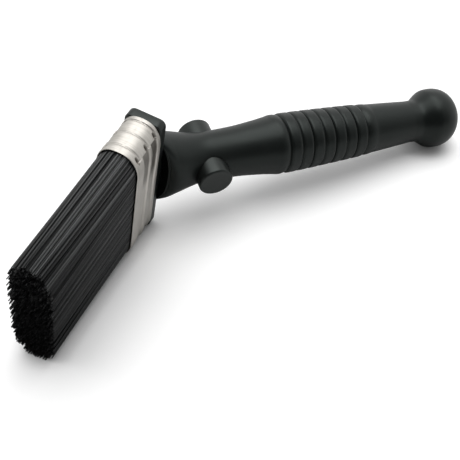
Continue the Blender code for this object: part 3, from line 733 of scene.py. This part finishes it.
# Setting resin and spacer strips: amber resin poured round the bristle roots, and two thin wooden
# strips that part them. They stay as the frame has them, deep inside the ferrule.
RESIN_DARK = (0.22, 0.12, 0.035)
RESIN_LIGHT = (0.38, 0.24, 0.09)
WOOD_DARK = (0.33, 0.20, 0.10)
WOOD_LIGHT = (0.50, 0.34, 0.19)
WOOD_ROUGHNESS = (0.62, 0.78)
amber_resin = moulded_plastic(
    "amber_resin", RESIN_DARK, RESIN_LIGHT, rough=0.30, gloss=0.18, grain=0.003, depth=0.00002
)
dress("setting_resin", amber_resin)
spacer_wood, tree, shader = new_material("spacer_wood")
place = add(tree, "ShaderNodeTexCoord").outputs["Object"]
grain = use_group(tree, LINES, place, Line_Width=0.0005, Line_Length=0.012)
wear = ramp(tree, grain.outputs["Streak"], *WOOD_ROUGHNESS, *NOISE_SPREAD)
paint(tree, shader, tint(tree, grain.outputs["Streak"], WOOD_DARK, WOOD_LIGHT), wear)
bump = add(tree, "ShaderNodeBump", {"Strength": 0.4, "Distance": 0.0001, "Height": grain.outputs["Height"]})
tree.links.new(bump.outputs[0], shader.inputs["Normal"])
for node in ("spacer_strip_near", "spacer_strip_far"):
    dress(node, spacer_wood)

# Bristles: thousands of black nylon filaments set in resin, in three rows that meet about where the
# spacer strips lie, with two even rims of them round the outside. They stand close, lean into loose
# clumps and end in a ragged square cut.
ROOT_PLACE = 0.0192
TIP_PLACE = 0.0905
STRAND_RADIUS = 0.00027
STRAND_PITCH = 0.00060
STRAND_SEGMENTS = 8
MOUTH_FLARE = (0.0180, 0.130)
TIP_WIDE_SHARE = 0.947
TIP_ACROSS_SHARE = 1.07
TIP_RAGGED = 0.022
MOUTH_FROM, MOUTH_TO = 0.0040, 0.0078
CLUMP_SIZE, CLUMP_PULL = 0.0042, 0.14
WISP_SIZE, WISP_PULL, WISP_SHIFT = 0.0015, 0.34, 0.37
CLUMP_POWER = 2.1
STRAY, STRAY_POWER, STRAY_REACH = 0.004, 24.0, 3.0
DRIFT_SCALE = 900.0
ROUND_FROM, ROUND_OVER, ROUND_SHARE = 0.016, 0.017, 0.30
ROUND_POWER = 1.6
BRISTLE_SEED, DICE_SEED = 5, 23
RIM_POINTS = 720
RIM_SPACING = (0.9, 1.1)
JITTER = 0.3
INNER_ROWS = 1.7
STRAND_SHARP = radians(80)
BENCH_GAP = 0.00005
NYLON_DARK = (0.0020, 0.0024, 0.0026)
NYLON_LIGHT = (0.215, 0.221, 0.221)
PALE_POWER = 3.2
PAINTED_SHADE_TONE, PAINTED_SHADE_EDGE = (0.24, 1.0), (-0.005, 0.030)
TIP_TONE = 0.60
STRAND_ROUGHNESS = (0.24, 0.42)
TIP_ROUGHENED = 0.34
CUT_DARK = (0.0005, 0.0006, 0.0008)
CUT_LIGHT = (0.003, 0.003, 0.0035)
ROW_EDGES = (-1.0, -0.35, 0.35, 1.0)


def bristle_tree(material, cut_material):
    """Stand a filament on every root, spread the row towards the tip and pull it into clumps."""
    tree, given, result = new_group(
        "bristle_row", "GeometryNodeTree",
        (("Geometry", "NodeSocketGeometry", None), ("Length", "NodeSocketFloat", 0.07),
         ("Radius", "NodeSocketFloat", 0.0002), ("Segments", "NodeSocketInt", 6),
         ("Mouth From", "NodeSocketFloat", 0.004), ("Mouth To", "NodeSocketFloat", 0.008),
         ("Flare Wide", "NodeSocketFloat", 0.0), ("Flare Across", "NodeSocketFloat", 0.0),
         ("Tip Wide", "NodeSocketFloat", 1.0), ("Tip Across", "NodeSocketFloat", 1.0),
         ("Ragged", "NodeSocketFloat", 0.02), ("Clump Size", "NodeSocketFloat", 0.004),
         ("Clump Pull", "NodeSocketFloat", 0.15), ("Wisp Size", "NodeSocketFloat", 0.0012),
         ("Wisp Pull", "NodeSocketFloat", 0.2), ("Stray", "NodeSocketFloat", 0.001),
         ("Round From", "NodeSocketFloat", 0.016), ("Round Over", "NodeSocketFloat", 0.017),
         ("Round Share", "NodeSocketFloat", 0.3), ("Seed", "NodeSocketInt", 5)),
        (("Geometry", "NodeSocketGeometry"),),
    )
    calc = partial(reckon, tree)

    def vector(operation, *values, scale=None):
        """One step of arithmetic on vectors."""
        node = add(tree, "ShaderNodeVectorMath", dict(enumerate(values)), operation=operation)
        if scale is not None:
            tree.links.new(scale, node.inputs["Scale"])
        return node.outputs[0]

    def xyz(*parts):
        """A vector from its parts."""
        return add(tree, "ShaderNodeCombineXYZ", dict(enumerate(parts))).outputs[0]

    def chance(low, high, salt):
        """A random number for each strand, which stays the same in every run."""
        seed = calc("ADD", given["Seed"], float(salt))
        node = add(tree, "FunctionNodeRandomValue", data_type="FLOAT")
        for socket in node.inputs:
            if socket.enabled and socket.name == "Min":
                socket.default_value = low
            elif socket.enabled and socket.name == "Max":
                socket.default_value = high
            elif socket.enabled and socket.name == "Seed":
                tree.links.new(seed, socket)
        return next(socket for socket in node.outputs if socket.enabled)

    def keep(geometry, name, kind, value):
        """Store a value on the mesh's points."""
        node = add(tree, "GeometryNodeStoreNamedAttribute",
                   {"Geometry": geometry, "Name": name}, data_type=kind, domain="POINT")
        tree.links.new(value, node.inputs["Value"])
        return node.outputs[0]

    def recall(name, kind):
        """Read a stored value back."""
        node = add(tree, "GeometryNodeInputNamedAttribute", {"Name": name}, data_type=kind)
        return node.outputs["Attribute"]

    position = add(tree, "GeometryNodeInputPosition").outputs[0]
    roots = keep(given["Geometry"], "root", "FLOAT_VECTOR", position)
    roots = keep(roots, "strand", "FLOAT", chance(0.0, 1.0, 1))
    roots = keep(roots, "stray", "FLOAT", chance(0.0, 1.0, 2))
    length = given["Length"]
    shape = {"Vertices": 3, "Side Segments": given["Segments"], "Radius": given["Radius"], "Depth": length}
    strand = add(tree, "GeometryNodeMeshCylinder", shape, fill_type="NGON")
    lift = xyz(0.0, 0.0, calc("MULTIPLY", length, 0.5))
    whole = add(tree, "GeometryNodeSetMaterial", {"Geometry": strand.outputs["Mesh"], "Material": material})
    ended = add(tree, "GeometryNodeSetMaterial",
                {"Geometry": whole.outputs[0], "Selection": strand.outputs["Top"], "Material": cut_material})
    standing = add(tree, "GeometryNodeTransform", {"Geometry": ended.outputs[0], "Translation": lift})
    spin = xyz(0.0, 0.0, chance(0.0, 2 * pi, 3))
    trim = calc("SUBTRACT", 1.0, calc("MULTIPLY", given["Ragged"], chance(0.0, 1.0, 4)))
    size = xyz(1.0, 1.0, trim)
    planted = add(tree, "GeometryNodeInstanceOnPoints",
                  {"Points": roots, "Instance": standing.outputs[0], "Scale": size})
    turned = add(tree, "FunctionNodeEulerToRotation", {0: spin}).outputs[0]
    tree.links.new(turned, planted.inputs["Rotation"])
    plain = add(tree, "GeometryNodeRealizeInstances", {"Geometry": planted.outputs[0]}).outputs[0]

    root = recall("root", "FLOAT_VECTOR")
    height = add(tree, "ShaderNodeSeparateXYZ", {0: vector("SUBTRACT", position, root)}).outputs[2]
    along = calc("DIVIDE", height, length, clamp=True)
    grown = calc("POWER", along, CLUMP_POWER)
    spread = xyz(calc("SUBTRACT", given["Tip Wide"], 1.0), calc("SUBTRACT", given["Tip Across"], 1.0))
    move = vector("SCALE", vector("MULTIPLY", root, spread), scale=along)
    mouth = ramp(tree, height, 0.0, 1.0, given["Mouth From"], given["Mouth To"], soft=True)
    flare = xyz(given["Flare Wide"], given["Flare Across"])
    move = vector("ADD", move, vector("SCALE", vector("MULTIPLY", root, flare), scale=mouth))
    parts = add(tree, "ShaderNodeSeparateXYZ", {0: root})
    past = calc("SUBTRACT", calc("ABSOLUTE", parts.outputs[0]), given["Round From"])
    turned_in = calc("POWER", calc("DIVIDE", past, given["Round Over"], clamp=True), ROUND_POWER)
    inward = calc("MULTIPLY", calc("MULTIPLY", turned_in, given["Round Share"]), along)
    inward = calc("MULTIPLY", inward, calc("MULTIPLY", parts.outputs[1], -1.0))
    move = vector("ADD", move, xyz(0.0, inward))

    def gathered(size, pull, shift):
        """Pull towards the middle of the cell of roots that a strand stands in."""
        cell = vector("DIVIDE", vector("ADD", root, (shift, shift, 0.0)), xyz(size, size, 1.0))
        flat = vector("MULTIPLY", cell, (1.0, 1.0, 0.0))
        cells = add(tree, "ShaderNodeTexVoronoi", {"Vector": flat, "Scale": 1.0},
                    voronoi_dimensions="2D", feature="F1")
        toward = vector("SUBTRACT", cells.outputs["Position"], flat)
        real = vector("SCALE", toward, scale=size)
        return vector("SCALE", vector("SCALE", real, scale=pull), scale=grown)

    move = vector("ADD", move, gathered(given["Clump Size"], given["Clump Pull"], 0.0))
    move = vector("ADD", move, gathered(given["Wisp Size"], given["Wisp Pull"], WISP_SHIFT))
    spot = vector("MULTIPLY", root, (DRIFT_SCALE, DRIFT_SCALE, 0.0))
    drift = add(tree, "ShaderNodeTexNoise", {"Vector": spot, "Scale": 1.0, "Detail": 1.0})
    wander = vector("SUBTRACT", drift.outputs["Color"], (0.5, 0.5, 0.5))
    loose = calc("POWER", recall("stray", "FLOAT"), STRAY_POWER)
    astray = calc("MULTIPLY", calc("MULTIPLY", loose, given["Stray"]), grown)
    level = vector("MULTIPLY", wander, (STRAY_REACH, STRAY_REACH, 0.0))
    move = vector("ADD", move, vector("SCALE", level, scale=astray))
    placed = add(tree, "GeometryNodeSetPosition", {"Geometry": plain, "Offset": move}).outputs[0]
    marked = keep(placed, "along", "FLOAT", along)
    crisp = add(tree, "GeometryNodeSetShadeSmooth", {"Geometry": marked, "Shade Smooth": False}).outputs[0]
    tree.links.new(crisp, result["Geometry"])
    return tree


def mark(tree, name, output="Fac"):
    """A value that the mesh carries on its points."""
    return add(tree, "ShaderNodeAttribute", attribute_name=name).outputs[output]


black_nylon, tree, shader = new_material("black_nylon")
strand = mark(tree, "strand")
along = mark(tree, "along")
pale = reckon(tree, "POWER", strand, PALE_POWER)
upward = add(tree, "ShaderNodeSeparateXYZ", {0: mark(tree, "root", "Vector")}).outputs[0]
# Painted light and shade: strands are lighter on the upper side of the pack and darker below it; they also
# grow darker towards the tips.
upper = ramp(tree, upward, *PAINTED_SHADE_TONE, *PAINTED_SHADE_EDGE)
strand_tone_and_shade = reckon(tree, "MULTIPLY", upper, ramp(tree, along, 1.0, TIP_TONE))
strand_tone_and_shade = reckon(tree, "MULTIPLY", pale, strand_tone_and_shade)
worn = reckon(tree, "MULTIPLY_ADD", along, TIP_ROUGHENED, ramp(tree, strand, *STRAND_ROUGHNESS))
paint(tree, shader, tint(tree, strand_tone_and_shade, NYLON_DARK, NYLON_LIGHT), worn)
shader.inputs["Specular IOR Level"].default_value = 0.32

cut_nylon, tree, shader = new_material("cut_nylon")
tree.links.new(tint(tree, mark(tree, "strand"), CUT_DARK, CUT_LIGHT), shader.inputs["Base Color"])
shader.inputs["Roughness"].default_value = 0.9
shader.inputs["Specular IOR Level"].default_value = 0.05

nodes = bristle_tree(black_nylon, cut_nylon)
dice = random.Random(DICE_SEED)
pack_fit = -(SHEET + WALL_IN + STRAND_RADIUS)
limit_wide = MOUTH_HALF[0] + pack_fit
limit_across = FERRULE_HALF[1] + pack_fit


def rim(inset, start):
    """Roots set evenly round the outline of the pack, a little way in."""
    outline = []
    for i in range(RIM_POINTS + 1):
        c, s = cos(2 * pi * i / RIM_POINTS), sin(2 * pi * i / RIM_POINTS)
        end = (CROWN + pack_fit - inset) * squared(c, CROWN_POWER)
        side = (limit_across - inset) * squared(s, CROWN_POWER)
        outline.append(Vector((copysign(MOUTH_HALF[0] - CROWN, c) + end, side)))
    points, left = [], start
    for first, last in zip(outline, outline[1:]):
        run = (last - first).length
        while left < run:
            points.append(first.lerp(last, left / run)[:])
            left += STRAND_PITCH * dice.uniform(*RIM_SPACING)
        left -= run
    return points


row_step = STRAND_PITCH * sin(pi / 3)
roots = rim(0, 0) + rim(row_step, STRAND_PITCH / 2)
inner = INNER_ROWS * row_step
rows, columns = int(limit_across / row_step), int(limit_wide / STRAND_PITCH) + 1
for row in range(-rows, rows + 1):
    for column in range(-columns, columns + 1):
        w = (column + 0.5 * (row % 2)) * STRAND_PITCH + dice.uniform(-JITTER, JITTER) * STRAND_PITCH
        t = row * row_step + dice.uniform(-JITTER, JITTER) * STRAND_PITCH
        past = max(0.0, abs(w) - (MOUTH_HALF[0] - CROWN))
        along_end = (past / (CROWN + pack_fit - inner)) ** CROWN_POWER
        if along_end + (abs(t) / (limit_across - inner)) ** CROWN_POWER < 1:
            roots.append((w, t))
for i, name in enumerate(("bristle_row_near", "bristle_row_middle", "bristle_row_far")):
    low, high = (edge * limit_across for edge in ROW_EDGES[i:i + 2])
    mesh = bpy.data.meshes.new(name + "_roots")
    places = [(w, t, ROOT_PLACE) for w, t in roots if low <= t < high or (i == 2 and t == high)]
    mesh.from_pydata(places, [], [])
    blank = bpy.data.objects.new(name + "_roots", mesh)
    bpy.context.scene.collection.objects.link(blank)
    grown = blank.modifiers.new("bristles", "NODES")
    grown.node_group = nodes
    set_inputs(grown, {
        "Length": TIP_PLACE - ROOT_PLACE, "Radius": STRAND_RADIUS, "Segments": STRAND_SEGMENTS,
        "Mouth From": MOUTH_FROM, "Mouth To": MOUTH_TO,
        "Flare Wide": MOUTH_FLARE[0], "Flare Across": MOUTH_FLARE[1],
        "Tip Wide": TIP_WIDE_SHARE, "Tip Across": TIP_ACROSS_SHARE, "Ragged": TIP_RAGGED,
        "Clump Size": CLUMP_SIZE, "Clump Pull": CLUMP_PULL, "Wisp Size": WISP_SIZE, "Wisp Pull": WISP_PULL,
        "Stray": STRAY, "Round From": ROUND_FROM, "Round Over": ROUND_OVER, "Round Share": ROUND_SHARE,
        "Seed": BRISTLE_SEED,
    })
    bristles = settle(blank, name, STRAND_SHARP)
    bristles.data.transform(head)
    for vertex in bristles.data.vertices:
        vertex.co.z = max(vertex.co.z, BENCH_GAP)
    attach(bristles, "root")
    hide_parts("bristles")

# Ferrule: a band of stainless sheet, brushed round the band, with flat sides and crowned ends. Two
# channels are pressed in each flat side, and three grooves cross each end and run out in dimples. The
# flats are a paler steel, a painted reflection, and the dimples and the upper part of the channels
# are darkened with painted shade.
# Each mark gives a share of the band's length and the depth pressed there, in millimetres.
FLAT_KEYS = ((0, 0), (0.10, 0), (0.135, -0.60), (0.30, -0.60), (0.385, 0), (0.44, 0), (0.475, -0.60),
             (0.66, -0.60), (0.73, 0), (1, 0))
CROWN_KEYS = ((0, 0), (0.07, 0), (0.10, -0.36), (0.14, -0.04), (0.40, -0.24), (0.44, -0.52), (0.485, -0.02),
              (0.77, -0.24), (0.81, -0.52), (0.855, -0.02), (1, -0.02))
DIMPLES = (0.135, 0.505, 0.875)
DIMPLE_DEPTH = 0.9
DIMPLE_HALF = (0.050, 0.120)
PRESS = 0.001
CHANNEL_FLOOR = -0.60
CHANNEL_SHADE = (0.90, 0.25)
CHANNEL_SHADE_EDGE = (0.006, 0.016)
WALL_Q = (0.835, 0.865)
DIMPLE_Q = 0.775
LIP_SHARE = 0.12
LIP_DEGREES = (45, 90, 135)
BACK_EDGE_SHARE = 0.5
TURN = 0.01
BAND_SHARP = radians(40)
BRUSHED_WIDTH, BRUSHED_LENGTH = 0.0008, 0.016
RING_STEPS, INNER_STEPS = 110, 8
# The angles stand close together where the dimples and the channels' ends are.
QUARTER_DEGREES = (*range(0, 45, 3), *(45 + 0.75 * i for i in range(32)), *range(69, 88, 3))
STEEL_WARM = (0.45, 0.432, 0.398)
STEEL_PALE = (0.565, 0.544, 0.508)
STEEL_PAINTED_REFLECTION = (0.86, 0.83, 0.785)
PAINTED_REFLECTION_SHARE = 0.55
PAINTED_REFLECTION_EDGE = (0.027, 0.019)
STEEL_PAINTED_SHADE = (0.06, 0.05, 0.04)
STREAK_SPREAD = (0.40, 0.60)
BAND_ROUGHNESS = (0.46, 0.54)


def keyed(keys, share):
    """A soft-cornered run through (share, depth) marks."""
    for (x0, y0), (x1, y1) in zip(keys, keys[1:]):
        if share <= x1:
            return blend(y0, y1, smooth((share - x0) / (x1 - x0)) if y0 != y1 else 0)
    return keys[-1][1]


def pit(share, q):
    """How deep a point lies in one of the dimples, where a groove runs out at the flat side."""
    down = ((q - DIMPLE_Q) / DIMPLE_HALF[1]) ** 2
    near = min(((share - centre) / DIMPLE_HALF[0]) ** 2 + down for centre in DIMPLES)
    return max(0.0, 1 - near) ** 0.5


def channel_shade(share, q):
    """Painted shade in the pressed channels of the flat sides."""
    flat = smooth((q - WALL_Q[0]) / (WALL_Q[1] - WALL_Q[0]))
    return blend(*CHANNEL_SHADE, share) * min(1.0, keyed(FLAT_KEYS, share) / CHANNEL_FLOOR) ** 2 * flat


def pressed(share, q):
    """How far the sheet is pressed in, at a share of its length and a height round its end."""
    flat = smooth((q - WALL_Q[0]) / (WALL_Q[1] - WALL_Q[0]))
    depth = blend(keyed(CROWN_KEYS, share), keyed(FLAT_KEYS, share), flat)
    return (depth - DIMPLE_DEPTH * pit(share, q) * (1 - flat)) * PRESS


quarter = [radians(degrees) for degrees in QUARTER_DEGREES]
angles = quarter + [pi - a for a in reversed(quarter)]
angles += [pi + a for a in quarter] + [2 * pi - a for a in reversed(quarter)]
shares = [i / RING_STEPS for i in range(RING_STEPS + 1)]


def ferrule_ring(share, inward):
    """One ring of the sheet at a share of its length, moved in by a depth."""
    place = BLOCK_DEPTH + FERRULE_LENGTH * share
    points = []
    for angle in angles:
        w, t = crowned(angle, place)
        q = abs(t) / blend(FERRULE_HALF[1], MOUTH_HALF[1], share)
        ahead, behind = crowned(angle + TURN, place), crowned(angle - TURN, place)
        normal = Vector((ahead[1] - behind[1], behind[0] - ahead[0])).normalized()
        move = (pressed(share, q) if inward < SHEET else 0) - inward
        points.append((w + normal.x * move, t + normal.y * move, place))
    return points


rings = [ferrule_ring(share, 0) for share in shares]
edge = SHEET / 2
for degrees in LIP_DEGREES:
    angle = radians(degrees)
    ring = ferrule_ring(1, edge * (1 - cos(angle)))
    rings.append([(w, t, place + edge * sin(angle)) for w, t, place in ring])
for i in range(INNER_STEPS, -1, -1):
    share = i / INNER_STEPS
    rings.append(ferrule_ring(share, SHEET + WALL_IN * smooth((1 - share) / LIP_SHARE)))
for degrees in reversed(LIP_DEGREES):
    angle = radians(degrees)
    ring = ferrule_ring(0, edge * (1 - cos(angle)))
    rings.append([(w, t, place - edge * sin(angle) * BACK_EDGE_SHARE) for w, t, place in ring])
ferrule = skin_rings("ferrule_band", rings, head, loop=True)
ferrule.data.set_sharp_from_angle(angle=BAND_SHARP)
flow = ferrule.data.attributes.new("flow", "FLOAT_VECTOR", "POINT")
for i, (w, t, place) in enumerate(point for ring in rings for point in ring):
    flow.data[i].vector = (w, place, t * BRUSHED_WIDTH / BRUSHED_LENGTH)
# Painted shade: the dimples and the pressed channels are marked for darkening.
pit_shade = ferrule.data.attributes.new("pit", "FLOAT", "POINT")
channel = ferrule.data.attributes.new("channel", "FLOAT", "POINT")
for ring, share in enumerate(shares):
    half_thick = blend(FERRULE_HALF[1], MOUTH_HALF[1], share)
    for i, angle in enumerate(angles):
        q = abs(crowned(angle, BLOCK_DEPTH + FERRULE_LENGTH * share)[1]) / half_thick
        pit_shade.data[ring * len(angles) + i].value = pit(share, q)
        channel.data[ring * len(angles) + i].value = channel_shade(share, q)
brushed, tree, shader = new_material("brushed_stainless")
place = mark(tree, "flow", "Vector")
skin = use_group(tree, LINES, place, Line_Width=BRUSHED_WIDTH, Line_Length=BRUSHED_LENGTH)
bare = tint(tree, ramp(tree, skin.outputs["Streak"], 0.0, 1.0, *STREAK_SPREAD), STEEL_WARM, STEEL_PALE)
upward = add(tree, "ShaderNodeSeparateXYZ", {0: place}).outputs[0]
# Painted reflection: the flats, away from the crowned ends, get a paler steel.
painted_flat_reflection = ramp(tree, reckon(tree, "ABSOLUTE", upward), 0.0, PAINTED_REFLECTION_SHARE, *PAINTED_REFLECTION_EDGE, soft=True)
steel_with_reflection = tint(tree, painted_flat_reflection, bare, STEEL_PAINTED_REFLECTION)
# Painted shade: the channels darken on their upper part, and the dimples darken too.
channel_shaded = reckon(tree, "MULTIPLY", mark(tree, "channel"), ramp(tree, upward, 0.0, 1.0, *CHANNEL_SHADE_EDGE, soft=True))
shaded_steel = tint(tree, reckon(tree, "MAXIMUM", mark(tree, "pit"), channel_shaded), steel_with_reflection, STEEL_PAINTED_SHADE)
paint(tree, shader, shaded_steel, ramp(tree, skin.outputs["Streak"], *BAND_ROUGHNESS, *NOISE_SPREAD))
shader.inputs["Metallic"].default_value = 1.0
ferrule.data.materials.append(brushed)
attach(ferrule, "root")
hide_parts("ferrule")

low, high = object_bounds()
